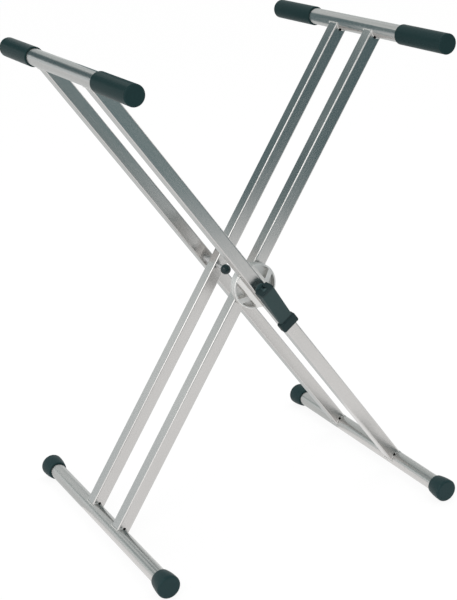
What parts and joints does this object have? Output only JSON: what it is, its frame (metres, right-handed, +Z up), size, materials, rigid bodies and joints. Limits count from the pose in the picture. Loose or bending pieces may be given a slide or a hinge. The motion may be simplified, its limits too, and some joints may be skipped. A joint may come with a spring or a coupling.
{
  "type": "keyboard stand",
  "caption": "Folding X-frame stand that carries a music keyboard on two padded bars, with a cam lever that clamps its hub.",
  "frame": {"origin": "on the floor, under the pivot, at the middle of the stand", "axes": "+Z up, Y along the keyboard and foot bars with the lever on the -Y side, X across the stand between the bars"},
  "size_m": [0.623, 0.528, 0.8738],
  "materials": {
    "nickel_plated_steel": "satin nickel plate",
    "black_sleeve_plastic": "satin",
    "black_foot_rubber": "matt",
    "black_lever_plastic": "fine moulded grain",
    "cast_aluminium": "bead blasted die casting",
    "zinc_plated_steel": "bright zinc",
    "blackened_steel": "black oxide",
    "bronze": "sintered",
    "friction_lining": "pressed fibre"
  },
  "bodies": {
    "outer_frame": {"outer_arm_near": "nickel_plated_steel", "outer_arm_far": "nickel_plated_steel", "outer_keyboard_bar": "nickel_plated_steel", "outer_foot_bar": "nickel_plated_steel", "outer_sleeve_near": "black_sleeve_plastic", "outer_sleeve_far": "black_sleeve_plastic", "outer_foot_cap_near": "black_foot_rubber", "outer_foot_cap_far": "black_foot_rubber", "outer_bush_near": "bronze", "outer_bush_far": "bronze", "hub_disc_outer": "cast_aluminium", "hub_screws_outer": "zinc_plated_steel", "hub_nut_strip_outer": "zinc_plated_steel", "spring_washers": "blackened_steel", "cam_plate": "blackened_steel", "pivot_head_washer": "zinc_plated_steel", "pivot_spacer": "zinc_plated_steel"},
    "inner_frame": {"inner_arm_near": "nickel_plated_steel", "inner_arm_far": "nickel_plated_steel", "inner_keyboard_bar": "nickel_plated_steel", "inner_foot_bar": "nickel_plated_steel", "inner_sleeve_near": "black_sleeve_plastic", "inner_sleeve_far": "black_sleeve_plastic", "inner_foot_cap_near": "black_foot_rubber", "inner_foot_cap_far": "black_foot_rubber", "inner_bush_near": "bronze", "inner_bush_far": "bronze", "hub_disc_inner": "cast_aluminium", "hub_screws_inner": "zinc_plated_steel", "hub_nut_strip_inner": "zinc_plated_steel", "friction_lining": "friction_lining", "pivot_bolt": "zinc_plated_steel", "pivot_nut_washer": "zinc_plated_steel", "pivot_nut": "zinc_plated_steel", "pivot_cap": "black_lever_plastic"},
    "clamp_bolt": {"draw_bolt": "blackened_steel", "cam_pin": "blackened_steel", "clamp_washer": "zinc_plated_steel", "clamp_nut": "zinc_plated_steel"},
    "clamp_lever": {"clamp_lever": "black_lever_plastic"}
  },
  "joints": [
    {"name": "scissor_fold", "type": "hinge", "parent": "outer_frame", "child": "inner_frame", "pos_m": [0, 0, 0.44345], "axis": [0, 1, 0], "range_deg": [-63.9, 45]},
    {"name": "clamp_bolt_slide", "type": "slide", "parent": "outer_frame", "child": "clamp_bolt", "axis": [0, 1, 0], "range_m": [0, 0.0012]},
    {"name": "clamp_lever_turn", "type": "hinge", "parent": "clamp_bolt", "child": "clamp_lever", "pos_m": [0, -0.125, 0.44345], "axis": [-0.8241, 0, -0.5664], "range_deg": [0, 100]}
  ],
  "couplings": [
    {"joint": "clamp_bolt_slide", "follows": "clamp_lever_turn", "m_per_rad": 0.000687}
  ]
}
